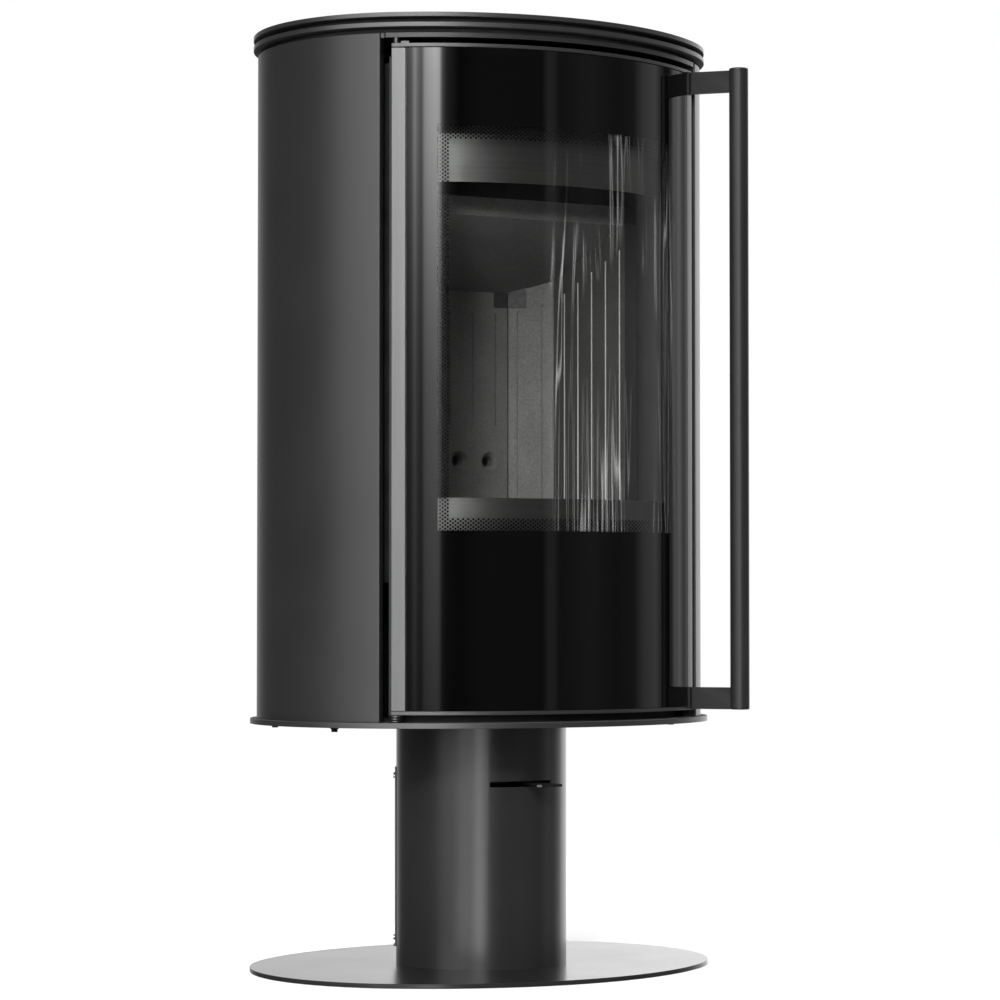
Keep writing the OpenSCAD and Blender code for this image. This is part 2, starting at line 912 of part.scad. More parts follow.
module door_glass() {
  pane_a = strip_a - 0.12;
  color("black", 0.7) front_band(-glass_t, 0, -pane_a, pane_a, pane_z, pane_top - pane_z);
}

// Steel frame behind the glass, round the clear window: a raised land bears on the glass
frame_edge_a = 37.3;
frame_in_off = -glass_t - 8.5;

module door_inner_frame() {
  land_a = strip_a - 1.9;
  window_a = 29.3;
  inner_z = door_z + rail_t;
  inner_h = door_top - door_z - 2 * rail_t;
  color("dimgray") difference() {
    union() {
      front_band(frame_in_off, -glass_t - 3.9, -frame_edge_a, frame_edge_a, inner_z, inner_h);
      front_band(frame_in_off + 1, -glass_t - 0.5, -land_a, land_a, inner_z, inner_h);
    }
    front_band(frame_in_off - 3, 3, -window_a, window_a, 482, 468);
    pin_hole(inner_z - cut, 20);
    pin_hole(inner_z + inner_h - 20 + cut, 20);
  }
}

module rope_gasket() {
  in_off = frame_out + 0.4;
  color("white") difference() {
    front_band(in_off, frame_in_off, -37, 37, 462, 506);
    front_band(in_off - 3, frame_in_off + 3, -35.1, 35.1, 472, 486);
  }
}

module glass_clips() {
  color("gray") for (z = [340, 440, 985]) for (s = [-1, 1])
    front_band(-glass_t - 10.5, -glass_t - 8.6, s * 26 - 1.5, s * 26 + 1.5, z, 12);
}

catch_a = 27;
catch_z = 405;

module catch_strike() {
  color("silver") front_band(-19, -12.6, catch_a - 2, catch_a + 2, catch_z, 24);
}

module catch_magnet() {
  color("black") front_band(frame_out, -19.4, catch_a - 2, catch_a + 2, catch_z, 24);
}

/* ---------- Handle ---------- */

bar_levels = [door_z + 0.8, door_top - bar_h - 2.2];
bar_dir = -49;
foot_t = 2.5;

cap_t = 3;

module handle_tube() {
  z0 = door_z + 0.7 + cap_t;
  color("dimgray") tube_at(handle_x, handle_y, handle_r, handle_r - 2, z0, door_top - cap_t - z0);
}

module handle_end_caps() {
  z0 = door_z + 0.7;
  color("dimgray") for (z = [z0, door_top - cap_t]) translate([handle_x, handle_y, z]) {
    cylinder(r = handle_r, h = cap_t);
    translate([0, 0, z == z0 ? cap_t - 0.1 : -5.9]) cylinder(r = handle_r - 2 - fit, h = 6);
  }
}

// A foot welded on the steel strip and a flat bar out to the tube
module handle_brackets() {
  reach = 62;
  color("dimgray") for (z = bar_levels) difference() {
    union() {
      front_band(0, foot_t, strip_a + 0.1, door_a - 0.1, z, bar_h);
      translate([handle_x, handle_y, z]) rotate(bar_dir + 180)
        translate([handle_r - 2, -bar_t / 2, 0]) cube([reach - handle_r + 2, bar_t, bar_h]);
    }
    // seat on the tube
    translate([handle_x, handle_y, z - cut]) cylinder(r = handle_r, h = bar_h + 2 * cut);
    // everything behind the strip's face
    translate([0, face_k, z - cut]) cylinder(r = face_r, h = bar_h + 2 * cut);
  }
}

floor_plate();
floor_plate_screws();
pillar_tube();
pillar_foot_ring();
pillar_head_ring();
pillar_head_bolts();
pillar_rear_cover();
rear_cover_screws();
air_duct();
damper_disc();
damper_pivot();
bottom_plate();
side_panel_bolts();
left_side_panel();
right_side_panel();
rear_panel();
rear_panel_screws();
deck_plate();
plate_spacers();
middle_plate();
top_plate();
flue_collar();
firebox_shell();
firebox_bottom();
firebox_top();
deck_standoffs();
front_frame();
ash_fascia();
air_box();
ash_chamber();
ash_pan();
rear_air_duct();
lining_back();
lining_corner_left();
lining_corner_right();
lining_side_left();
lining_side_right();
hearth_left();
hearth_right();
grate();
baffle_slab();
baffle_brackets();
smoke_deflector();
air_wash_plate();
log_guard();
hinge_pins();
hinge_washers();
catch_magnet();
door_top_rail();
door_bottom_rail();
door_left_stile();
door_right_stile();
door_glass();
door_inner_frame();
rope_gasket();
glass_clips();
catch_strike();
handle_tube();
handle_end_caps();
handle_brackets();
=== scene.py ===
"""Wood burning stove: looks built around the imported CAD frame. Metres, +Z up, the door faces -Y."""

import json
import math

import bpy
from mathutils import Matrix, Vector
from mathutils.geometry import tessellate_polygon

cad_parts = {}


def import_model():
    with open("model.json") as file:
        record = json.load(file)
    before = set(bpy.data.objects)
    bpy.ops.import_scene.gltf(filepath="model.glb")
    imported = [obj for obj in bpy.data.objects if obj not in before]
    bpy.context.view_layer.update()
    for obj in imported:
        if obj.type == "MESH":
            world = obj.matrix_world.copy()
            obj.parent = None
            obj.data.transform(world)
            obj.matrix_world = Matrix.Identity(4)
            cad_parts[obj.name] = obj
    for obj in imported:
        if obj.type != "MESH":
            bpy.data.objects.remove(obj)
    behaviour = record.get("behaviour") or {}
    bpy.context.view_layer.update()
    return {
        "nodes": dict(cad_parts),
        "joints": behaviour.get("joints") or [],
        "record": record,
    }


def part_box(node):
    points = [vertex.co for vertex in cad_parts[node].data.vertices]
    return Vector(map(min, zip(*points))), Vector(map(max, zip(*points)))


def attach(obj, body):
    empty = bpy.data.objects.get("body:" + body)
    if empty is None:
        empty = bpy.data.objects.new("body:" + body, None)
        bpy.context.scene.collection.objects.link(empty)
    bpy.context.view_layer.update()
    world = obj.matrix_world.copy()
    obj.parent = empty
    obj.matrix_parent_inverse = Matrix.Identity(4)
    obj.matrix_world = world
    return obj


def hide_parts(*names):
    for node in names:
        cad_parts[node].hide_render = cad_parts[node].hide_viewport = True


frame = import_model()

# ---------------------------------------------------------------- plan of the body, from the frame

GLASS_LO, GLASS_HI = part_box("door_glass")
SKIN_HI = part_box("right_side_panel")[1]
RAIL_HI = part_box("door_top_rail")[1]
SKIN_Z0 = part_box("right_side_panel")[0].z
SKIN_Z1 = SKIN_HI.z

HALF_W = SKIN_HI.x
HALF_D = -GLASS_LO.y
END_C = 0.085  # centre of each round end
END_R = HALF_W - END_C
RISE = HALF_D - END_R
FACE_K = (END_C**2 - RISE**2) / (2 * RISE)
FACE_R = HALF_D + FACE_K
FACE_A = math.degrees(math.atan2(END_C, FACE_K))
END_A = 90 - FACE_A
DOOR_A = math.degrees(math.asin(RAIL_HI.x / FACE_R))  # half the door, and below half the glass
PANE_A = math.degrees(math.asin(GLASS_HI.x / FACE_R))
STRIP_GAP_A = 0.12  # between the glass and the steel strips
STRIP_A = PANE_A + STRIP_GAP_A

HINGE = frame["joints"][0]["pos_m"][:2]
PIN_HOLE_R = 0.00405
COLLAR_HOLE_R = 0.0816
DUCT_HOLE_R = 0.0505
HOSE_HOLE_R = 0.051
GLASS_T = 0.004

# The clear window in the black glass, and where the painted reflection streaks on it begin
WINDOW_X = 0.1545
WINDOW_Z = (0.4965, 0.9405)
STREAK_X = -0.03


def polar(centre, r, angle):
    a = math.radians(angle)
    return (centre[0] + r * math.cos(a), centre[1] + r * math.sin(a))


def arc(centre, r, a0, a1, step=1.0):
    """Points along an arc, angles in degrees from +X."""
    n = max(1, math.ceil(abs(a1 - a0) / step))
    return [polar(centre, r, a0 + (a1 - a0) * i / n) for i in range(n + 1)]


def front(off, a0, a1, step=1.0):
    """Points along the front arc at an offset from the skin, angles from the front's middle."""
    return arc((0, FACE_K), FACE_R + off, a0 - 90, a1 - 90, step)


def front_point(off, angle):
    return front(off, angle, angle)[0]


def front_angle(x, off=0.0):
    """The angle at which the front arc reaches x."""
    return math.degrees(math.asin(x / (FACE_R + off)))


def z_of(node):
    lo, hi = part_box(node)
    return lo.z, hi.z


def lip(node):
    """How far an oval plate stands out past the skin."""
    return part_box(node)[1].x - HALF_W


def oval(off):
    """The body's outline at an offset from the skin, counter-clockwise."""
    points = []
    for turn, sign in ((0, 1), (180, -1)):
        points += arc((sign * END_C, 0), END_R + off, turn - END_A, turn + END_A)[:-1]
        points += arc((0, -sign * FACE_K), FACE_R + off, turn + 90 - FACE_A, turn + 90 + FACE_A)[:-1]
    return points


def circle(centre, r, step=3.0):
    return arc(centre, r, 0, 360, step)[:-1]


def rounded(points, r, steps=4, sharp=25.0):
    """Rounds the corners of a closed outline that turn by more than sharp degrees."""
    out = []
    n = len(points)
    for i in range(n):
        a, p, b = (Vector(points[(i + k) % n]) for k in (-1, 0, 1))
        u, v = (a - p), (b - p)
        turn = math.degrees(math.pi - u.angle(v)) if u.length > 1e-9 and v.length > 1e-9 else 0
        if turn < sharp:
            out.append(tuple(p))
            continue
        cut = min(r * math.tan(math.radians(turn) / 2), 0.45 * u.length, 0.45 * v.length)
        start, end = p + u.normalized() * cut, p + v.normalized() * cut
        for s in range(steps + 1):
            t = s / steps
            out.append(tuple(start * (1 - t) ** 2 + p * 2 * t * (1 - t) + end * t * t))
    return out


# ---------------------------------------------------------------- mesh tools

SHARP_A = 60  # edges that turn by more than this stay crisp
CORNER_WEIGHT = 80


def add_mesh(name, verts, faces, body, nodes=(), material=None, slot=None, smooth=True):
    mesh = bpy.data.meshes.new(name)
    mesh.from_pydata([tuple(v) for v in verts], [], faces)
    mesh.update()
    obj = bpy.data.objects.new(name, mesh)
    bpy.context.scene.collection.objects.link(obj)
    return dress(obj, body, nodes, material, smooth)


def dress(obj, body, nodes=(), material=None, smooth=True):
    """Shades a piece, rides it on its body and hides the CAD nodes it replaces."""
    for polygon in obj.data.polygons:
        polygon.use_smooth = smooth
    if smooth:
        obj.data.set_sharp_from_angle(angle=math.radians(SHARP_A))
        weighted = obj.modifiers.new("normals", "WEIGHTED_NORMAL")
        weighted.weight = CORNER_WEIGHT
        weighted.keep_sharp = True
    if material is not None:
        obj.data.materials.clear()
        obj.data.materials.append(material)
    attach(obj, body)
    if nodes:
        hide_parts(*nodes)
    return obj


def area(loop):
    """Positive when the loop runs counter-clockwise."""
    return sum(a[0] * b[1] - b[0] * a[1] for a, b in zip(loop, loop[1:] + loop[:1])) / 2


def inset(loop, distance):
    """Moves each point of a loop to its left, with mitred corners."""
    n = len(loop)
    out = []
    for i in range(n):
        a, p, b = (Vector(loop[(i + k) % n]) for k in (-1, 0, 1))
        d0, d1 = (p - a).normalized(), (b - p).normalized()
        n0, n1 = Vector((-d0.y, d0.x)), Vector((-d1.y, d1.x))
        out.append(tuple(p + (n0 + n1) * (distance / max(0.35, 1 + n0.dot(n1)))))
    return out


def prism_data(loops, z0, z1, bevel=0.0006, steps=3):
    """A plate with rounded edges: loops[0] is its outline and the others are its holes."""
    bevel = min(bevel, 0.45 * (z1 - z0))
    loops = [list(l) if (area(l) > 0) == (k == 0) else list(reversed(l)) for k, l in enumerate(loops)]
    rings = [(z0 + bevel * (1 - math.cos(t)), bevel * (1 - math.sin(t)))
             for t in (math.pi / 2 * s / steps for s in range(steps + 1))]
    rings += [(z1 + z0 - z, i) for z, i in reversed(rings)]
    verts, faces, caps = [], [], {0: [], len(rings) - 1: []}
    for loop in loops:
        n = len(loop)
        base = len(verts)
        for k, (z, i) in enumerate(rings):
            ring = inset(loop, i)
            if k in caps:
                caps[k].append((base + k * n, ring))
            verts += [(x, y, z) for x, y in ring]
        for k in range(len(rings) - 1):
            for j in range(n):
                a, b = base + k * n + j, base + k * n + (j + 1) % n
                faces.append((a, b, b + n, a + n))
    for k, rows in caps.items():
        index = [start + j for start, ring in rows for j in range(len(ring))]
        flat = [[Vector((x, y, 0)) for x, y in ring] for start, ring in rows]
        for tri in tessellate_polygon(flat):
            points = [Vector(verts[index[t]]) for t in tri]
            up = (points[1] - points[0]).cross(points[2] - points[0]).z > 0
            tri = [index[t] for t in tri]
            faces.append(tuple(tri if up == (k != 0) else reversed(tri)))
    return verts, faces


def prism(name, loops, z0, z1, body, nodes=(), material=None, slot=None, bevel=0.0006, steps=3):
    verts, faces = prism_data(loops, z0, z1, bevel, steps)
    return add_mesh(name, verts, faces, body, nodes, material, slot)


def lathe_data(profile, centre=(0, 0), sides=64):
    """A solid turned about a vertical axis: profile is a closed list of (radius, z)."""
    verts, faces, rings = [], [], []
    for r, z in profile:
        if r < 1e-6:
            rings.append([len(verts)] * sides)
            verts.append((centre[0], centre[1], z))
        else:
            rings.append([len(verts) + j for j in range(sides)])
            verts += [polar(centre, r, 360 * j / sides) + (z,) for j in range(sides)]
    for ring, above in zip(rings, rings[1:] + rings[:1]):
        for j in range(sides):
            quad = [ring[j], ring[(j + 1) % sides], above[(j + 1) % sides], above[j]]
            quad = [v for i, v in enumerate(quad) if v not in quad[:i]]
            if len(quad) > 2:
                faces.append(tuple(quad))
    return verts, faces


def joined(parts):
    """Several (vertices, faces) as one."""
    verts, faces = [], []
    for v, f in parts:
        faces += [tuple(i + len(verts) for i in face) for face in f]
        verts += list(v)
    return verts, faces


# ---------------------------------------------------------------- materials


class Nodes:
    """Short names for building one node tree."""

    def __init__(self, name):
        self.material = bpy.data.materials.new(name)
        self.material.use_nodes = True
        self.tree = self.material.node_tree
        self.shader = next(n for n in self.tree.nodes if n.type == "BSDF_PRINCIPLED")
        self.output = next(n for n in self.tree.nodes if n.type == "OUTPUT_MATERIAL")
        self.coords = self.tree.nodes.new("ShaderNodeTexCoord").outputs["Object"]

    def add(self, kind, **values):
        node = self.tree.nodes.new("ShaderNode" + kind)
        for key, value in values.items():
            if key in node.inputs.keys():
                if isinstance(value, bpy.types.NodeSocket):
                    self.tree.links.new(value, node.inputs[key])
                else:
                    node.inputs[key].default_value = value
            else:
                setattr(node, key, value)
        return node

    def link(self, source, target):
        self.tree.links.new(source, target)

    def split(self, vector=None):
        """The three parts of a vector, by default of the object's own coordinates."""
        return self.add("SeparateXYZ", Vector=vector or self.coords).outputs

    def stretched(self, scale):
        return self.add("Mapping", Vector=self.coords, Scale=scale).outputs["Vector"]

    def noise(self, scale, detail=3.0, rough=0.5, vector=None):
        node = self.add("TexNoise", Vector=vector or self.coords, Scale=scale, Detail=detail, Roughness=rough)
        return node.outputs["Fac"]

    def ramp(self, fac, stops):
        """stops are (place, grey) or (place, (red, green, blue))."""
        node = self.add("ValToRGB", Fac=fac)
        ramp = node.color_ramp
        while len(ramp.elements) < len(stops):
            ramp.elements.new(0.5)
        for element, (place, value) in zip(ramp.elements, stops):
            element.position = place
            element.color = (*value, 1) if hasattr(value, "__len__") else (value, value, value, 1)
        return node.outputs["Color"]

    def spread(self, fac, low, high):
        return self.add("MapRange", Value=fac, **{"To Min": low, "To Max": high}).outputs["Result"]

    def mix(self, fac, a, b, kind="MIX"):
        node = self.add("Mix", data_type="RGBA", blend_type=kind)
        for socket, value in zip((node.inputs[0], node.inputs[6], node.inputs[7]), (fac, a, b)):
            if isinstance(value, bpy.types.NodeSocket):
                self.link(value, socket)
            elif hasattr(value, "__len__"):
                socket.default_value = (*value, 1)
            else:
                socket.default_value = value
        return node.outputs[2]

    def math(self, kind, a, b=0.0):
        node = self.add("Math", operation=kind)
        for socket, value in zip(node.inputs, (a, b)):
            if isinstance(value, bpy.types.NodeSocket):
                self.link(value, socket)
            else:
                socket.default_value = value
        return node.outputs[0]

    def average(self, a, b, share):
        """share is how much of the second value is taken."""
        return self.math("ADD", self.math("MULTIPLY", a, 1 - share), self.math("MULTIPLY", b, share))

    def bump(self, height, strength, distance):
        node = self.add("Bump", Height=height, Strength=strength, Distance=distance)
        self.link(node.outputs["Normal"], self.shader.inputs["Normal"])

    def set(self, **values):
        for key, value in values.items():
            socket = self.shader.inputs[key.replace("_", " ")]
            if isinstance(value, bpy.types.NodeSocket):
                self.link(value, socket)
            else:
                socket.default_value = value

    def blend(self, fac, first, second):
        node = self.add("MixShader", Fac=fac)
        self.link(first.outputs[0], node.inputs[1])
        self.link(second.outputs[0], node.inputs[2])
        return node

    def finish(self, surface):
        """Uses another shader than the principled one."""
        self.tree.nodes.remove(self.shader)
        self.link(surface.outputs[0], self.output.inputs["Surface"])
        return self.material


TOP_NORMAL = 0.9  # faces whose normals are this upright count as flat tops
DULL = 0.85  # their roughness


def stove_paint(name, dark=(0.011, 0.0111, 0.011), light=(0.0175, 0.0176, 0.0174), rough=(0.34, 0.42),
                grain=0.05, shine=0.5, dull_tops=False):
    """Satin heat-proof paint: fine sprayed grain, faint clouds in tone and gloss.

    dull_tops is for plates whose flat faces are rougher than their edges."""
    n = Nodes(name)
    cloud = n.noise(9.0, 4.0)
    roughness = n.spread(cloud, *rough)
    if dull_tops:
        tilt = n.math("ABSOLUTE", n.split(n.add("NewGeometry").outputs["Normal"])["Z"])
        flat = n.math("GREATER_THAN", tilt, TOP_NORMAL)
        roughness = n.math("MAXIMUM", roughness, n.math("MULTIPLY", flat, DULL))
    speck = n.noise(2200.0, 2.0)
    tone = n.average(cloud, speck, 0.55)
    n.set(Base_Color=n.ramp(tone, [(0.3, dark), (0.7, light)]), Roughness=roughness, Specular_IOR_Level=shine)
    n.bump(n.noise(1400.0, 3.0), grain, 0.0002)
    return n.material


def heat_black():
    """Matt black of the parts close to the fire, slightly ashy."""
    n = Nodes("heat_black")
    cloud = n.noise(22.0, 6.0, 0.6)
    n.set(Base_Color=n.ramp(cloud, [(0.35, 0.010), (0.75, 0.024)]))
    n.set(Roughness=n.spread(cloud, 0.55, 0.78))
    n.bump(n.noise(900.0, 4.0), 0.12, 0.0003)
    return n.material


def brushed(name, base, rough=(0.24, 0.36), across=(900.0, 900.0, 5.0)):
    """Steel brushed along its length."""
    n = Nodes(name)
    lines = n.noise(1.0, 2.0, 0.6, n.stretched(across))
    cloud = n.noise(14.0, 3.0)
    low = tuple(c * 0.86 for c in base)
    n.set(Base_Color=n.ramp(lines, [(0.3, low), (0.7, base)]), Metallic=1.0)
    n.set(Roughness=n.spread(n.average(lines, cloud, 0.4), *rough))
    n.bump(lines, 0.10, 0.0001)
    return n.material


# The side linings: where their grooves begin behind the face, and where their front ends stop
SIDE_FACE_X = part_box("lining_side_right")[0].x + 0.0002
SIDE_FRONT_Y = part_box("lining_side_right")[0].y + 0.004
# Painted highlight for the side linings' grooves, and painted shade for their front ends
GROOVE_HIGHLIGHT = (0.5, 0.495, 0.485)
END_SHADE = (0.02, 0.02, 0.02)


def lining(name, low, high):
    """Pressed mineral board: pale flakes, pin holes and faint smoke stains; on the side linings, painted
    highlight in the grooves and painted shade on the front ends.
    """
    n = Nodes(name)
    flakes = n.add("TexVoronoi", Vector=n.coords, Scale=420.0, feature="F1").outputs["Color"]
    grey = n.add("RGBToBW", Color=flakes).outputs[0]
    stain = n.noise(7.0, 5.0, 0.6)
    fine = n.noise(700.0, 4.0)
    tone = n.average(grey, fine, 0.65)
    board = n.ramp(tone, [(0.25, low), (0.75, high)])
    smoke = n.ramp(stain, [(0.35, 0.8), (0.62, 1.0)])
    stained_and_shaded = n.mix(1.0, board, smoke, "MULTIPLY")
    # painted highlight and shade: the grooves of the side linings are painted pale, and their front ends
    # painted black
    x, y, z = n.split()
    deep = n.math("GREATER_THAN", n.math("ABSOLUTE", x), SIDE_FACE_X)
    cut = n.math("MULTIPLY", deep, n.math("GREATER_THAN", y, SIDE_FRONT_Y))
    end = n.math("MULTIPLY", deep, n.math("LESS_THAN", y, SIDE_FRONT_Y))
    stained_and_shaded = n.mix(end, stained_and_shaded, END_SHADE)
    n.set(Base_Color=n.mix(cut, stained_and_shaded, GROOVE_HIGHLIGHT), Roughness=n.spread(fine, 0.75, 0.95))
    n.bump(tone, 0.35, 0.0006)
    return n.material


def cast(name):
    """Iron with the grit of its mould."""
    n = Nodes(name)
    grit = n.noise(420.0, 5.0, 0.65)
    n.set(Base_Color=n.ramp(grit, [(0.3, 0.022), (0.8, 0.05)]), Metallic=0.35)
    n.set(Roughness=n.spread(grit, 0.5, 0.75))
    n.bump(grit, 0.5, 0.0006)
    return n.material


def zinc(name, tone):
    """Zinc plating: faint crystals and a soft shine."""
    n = Nodes(name)
    crystal = n.add("TexVoronoi", Vector=n.coords, Scale=260.0).outputs["Color"]
    grey = n.add("RGBToBW", Color=crystal).outputs[0]
    low = tuple(c * 0.8 for c in tone)
    n.set(Base_Color=n.ramp(grey, [(0.2, low), (0.8, tone)]), Metallic=1.0)
    n.set(Roughness=n.spread(grey, 0.3, 0.5))
    n.bump(n.noise(600.0), 0.08, 0.0002)
    return n.material


def rope():
    """Knitted glass-fibre rope."""
    n = Nodes("seal_rope")
    wave = n.add("TexWave", Vector=n.coords, Scale=260.0, Distortion=3.0, bands_direction="DIAGONAL")
    knit = wave.outputs["Fac"]
    n.set(Base_Color=n.ramp(knit, [(0.2, (0.26, 0.25, 0.235)), (0.8, (0.52, 0.5, 0.47))]))
    n.set(Roughness=n.spread(knit, 0.8, 0.95))
    n.bump(knit, 0.8, 0.001)
    return n.material


def magnet():
    """Sintered black magnet."""
    n = Nodes("magnet_black")
    speck = n.noise(1500.0)
    n.set(Base_Color=n.ramp(speck, [(0.3, 0.02), (0.7, 0.04)]), Roughness=n.spread(speck, 0.4, 0.6))
    return n.material


def print_black():
    """Fired black print on the back of the glass."""
    n = Nodes("glass_print")
    speck = n.noise(1800.0, 2.0)
    n.set(Base_Color=n.ramp(speck, [(0.3, 0.0005), (0.7, 0.0011)]))
    n.set(Roughness=n.spread(speck, 0.5, 0.62), Specular_IOR_Level=0.03)
    return n.material


GLASS_IOR = 1.52
STREAK_REFLECTION_WHITE = 0.28  # how white the painted reflection streaks are


def black_glass():
    """Ceramic glass with black enamel fired on its back."""
    n = Nodes("black_glass")
    speck = n.noise(1800.0, 2.0)
    cloud = n.noise(5.0, 2.0)
    enamel = n.add("BsdfDiffuse", Color=n.ramp(speck, [(0.3, 0.0008), (0.7, 0.0016)]))
    gloss = n.add("BsdfGlossy", Color=(1, 1, 1, 1), Roughness=n.spread(cloud, 0.010, 0.016))
    return n.finish(n.blend(n.add("Fresnel", IOR=GLASS_IOR).outputs["Fac"], enamel, gloss))


def between(n, place, low, high, soft):
    """1 where a value lies between two others, with soft ends."""
    rise = n.add("MapRange", Value=place, **{"From Min": low - soft, "From Max": low + soft})
    fall = n.add("MapRange", Value=place, **{"From Min": high + soft, "From Max": high - soft})
    return n.math("MULTIPLY", rise.outputs["Result"], fall.outputs["Result"])


# Two kinds of painted reflection streak: stretch of its wave, width of its line, stretch of its patches,
# strength
REFLECTION_STREAKS = [
    ((66.0, 66.0, 2.4), 0.028, (15.0, 15.0, 6.0), 0.9),
    ((130.0, 130.0, 1.2), 0.030, (9.0, 9.0, 3.0), 0.5),
]


def streaks(n):
    """Thin wavy streaks of painted reflection that run down the handle side of the clear window."""
    marks = None
    for stretch, line, patch, strength in REFLECTION_STREAKS:
        wave = n.noise(1.0, 1.0, 0.4, n.stretched(stretch))
        ridge = n.math("ABSOLUTE", n.math("SUBTRACT", wave, 0.5))
        ridge = n.ramp(ridge, [(0.0, 1.0), (line / 2, 0.35), (line, 0.0)])
        patches = n.ramp(n.noise(1.0, 1.0, 0.5, n.stretched(patch)), [(0.48, 0.0), (0.66, 1.0)])
        layer = n.math("MULTIPLY", n.math("MULTIPLY", ridge, patches), strength)
        marks = layer if marks is None else n.math("ADD", marks, layer)
    x, y, z = n.split()
    inside = n.math("MULTIPLY", between(n, z, WINDOW_Z[0], WINDOW_Z[1], 0.002),
                    between(n, x, STREAK_X, WINDOW_X - 0.003, 0.004))
    return n.math("MULTIPLY", marks, inside)


def clear_glass():
    """Ceramic glass: a clear sheet that mirrors the room, with painted reflection streaks in white on the
    window.
    """
    n = Nodes("ceramic_glass")
    fresnel = n.add("Fresnel", IOR=GLASS_IOR).outputs["Fac"]
    outside = n.math("SUBTRACT", 1.0, n.add("NewGeometry").outputs["Backfacing"])
    clear = n.add("BsdfTransparent", Color=(0.93, 0.935, 0.93, 1))
    streak_white = n.add("BsdfDiffuse", Color=(0.8, 0.8, 0.8, 1))
    gloss = n.add("BsdfGlossy", Color=(1, 1, 1, 1), Roughness=0.012)
    # painted reflection: white streaks mixed into the clear glass
    body = n.blend(n.math("MULTIPLY", streaks(n), STREAK_REFLECTION_WHITE), clear, streak_white)
    return n.finish(n.blend(n.math("MULTIPLY", fresnel, outside), body, gloss))


PAINT = stove_paint("stove_paint")
PLATE_PAINT = stove_paint("plate_paint", rough=(0.2, 0.26), shine=0.2)
EDGE_PAINT = stove_paint("edge_paint", shine=0.95, dull_tops=True)
PILLAR_PAINT = stove_paint("pillar_paint", rough=(0.26, 0.32), shine=0.55)
HANDLE_PAINT = stove_paint("handle_paint", shine=0.32)
BRACKET_PAINT = stove_paint("bracket_paint", rough=(0.5, 0.6), shine=0.14)
HEAT_BLACK = heat_black()
STRIP_STEEL = brushed("satin_steel", (0.125, 0.126, 0.128), rough=(0.3, 0.42))
BARE_STEEL = brushed("bare_steel", (0.2, 0.199, 0.196), rough=(0.3, 0.4), across=(9.0, 9.0, 900.0))
BOLT_STEEL = zinc("bolt_steel", (0.46, 0.46, 0.47))
WASHER_STEEL = zinc("washer_steel", (0.09, 0.09, 0.093))
LEVER_STEEL = zinc("lever_steel", (0.10, 0.10, 0.102))
BLACK_BOLT = zinc("black_bolt", (0.05, 0.05, 0.052))
ZINC = zinc("zinc_sheet", (0.42, 0.425, 0.43))
BOARD = lining("lining_board", (0.15, 0.149, 0.146), (0.24, 0.238, 0.233))
# Darker copies of the lining board, as painted shade on the side linings, the back lining and the baffle
SIDE_BOARD_SHADED = lining("side_board_painted_shade", (0.055, 0.0545, 0.053), (0.085, 0.084, 0.082))
BACK_BOARD_SHADED = lining("back_board_painted_shade", (0.115, 0.114, 0.112), (0.172, 0.171, 0.168))
IRON = cast("grate_iron")
ROPE = rope()
MAGNET = magnet()
PRINT = print_black()
GLASS = clear_glass()
BLACK_GLASS = black_glass()

SLOT_MATERIALS = {
    "painted_steel": PAINT,
    "heat_black_steel": HEAT_BLACK,
    "satin_steel": STRIP_STEEL,
    "bare_steel": BARE_STEEL,
    "fastener_steel": BOLT_STEEL,
    "zinc_steel": ZINC,
    "firebox_lining": BOARD,
    "grate_iron": IRON,
    "door_glass": GLASS,
    "seal_rope": ROPE,
    "magnet": MAGNET,
}

EDGE_RADIUS = {"firebox_lining": 0.001, "grate_iron": 0.0012, "fastener_steel": 0.0003, "zinc_steel": 0.0003}
PLAIN_EDGE_RADIUS = 0.0005

# Parts whose finish differs from that of the rest of their slot; the side and back linings and the baffle
# take darker copies of the board as painted shade
OWN_MATERIALS = {
    "side_panel_bolts": BLACK_BOLT,
    "pillar_head_bolts": BLACK_BOLT,
    "hinge_pins": WASHER_STEEL,
    "damper_disc": LEVER_STEEL,
    "pillar_tube": PILLAR_PAINT,
    "pillar_rear_cover": PILLAR_PAINT,
    "handle_brackets": BRACKET_PAINT,
    "lining_side_left": SIDE_BOARD_SHADED,
    "lining_side_right": SIDE_BOARD_SHADED,
    "lining_back": BACK_BOARD_SHADED,
    "baffle_slab": BACK_BOARD_SHADED,
}


def soften(node, width):
    """Breaks the sharp edges of a CAD part and shades its curves smoothly."""
    for polygon in node.data.polygons:
        polygon.use_smooth = True
    bevel = node.modifiers.new("edges", "BEVEL")
    bevel.width = width
    bevel.segments = 2
    bevel.limit_method = "ANGLE"
    bevel.angle_limit = math.radians(33)
    weighted = node.modifiers.new("normals", "WEIGHTED_NORMAL")
    weighted.weight = CORNER_WEIGHT


for part in frame["record"]["subparts"]:
    name, slot = part["node"], part["material_slot"]
    node = frame["nodes"][name]
    node.data.materials.clear()
    node.data.materials.append(OWN_MATERIALS.get(name, SLOT_MATERIALS[slot]))
    soften(node, EDGE_RADIUS.get(slot, PLAIN_EDGE_RADIUS))

# ---------------------------------------------------------------- shell


def plates():
    """The oval plates, each with its round hole."""
    holes = {
        "top_plate": (COLLAR_HOLE_R, EDGE_PAINT, 0.0004),
        "middle_plate": (COLLAR_HOLE_R, EDGE_PAINT, 0.0004),
        "bottom_plate": (DUCT_HOLE_R, EDGE_PAINT, 0.0004),
        "floor_plate": (HOSE_HOLE_R, PLATE_PAINT, 0.0005),
    }
    for node, (hole_r, paint, bevel) in holes.items():
        loops = [oval(lip(node)), circle((0, 0), hole_r)]
        prism(node + "_shaped", loops, *z_of(node), "stove", [node], paint, "painted_steel", bevel)


plates()

PANEL_FRONT_X = 0.2065
PANEL_T = 0.002
PANEL_T_A = 0.65  # the same thickness as an angle of the round end
PANEL_BACK_GAP_A = 0.4
PANEL_FOLD = 0.016


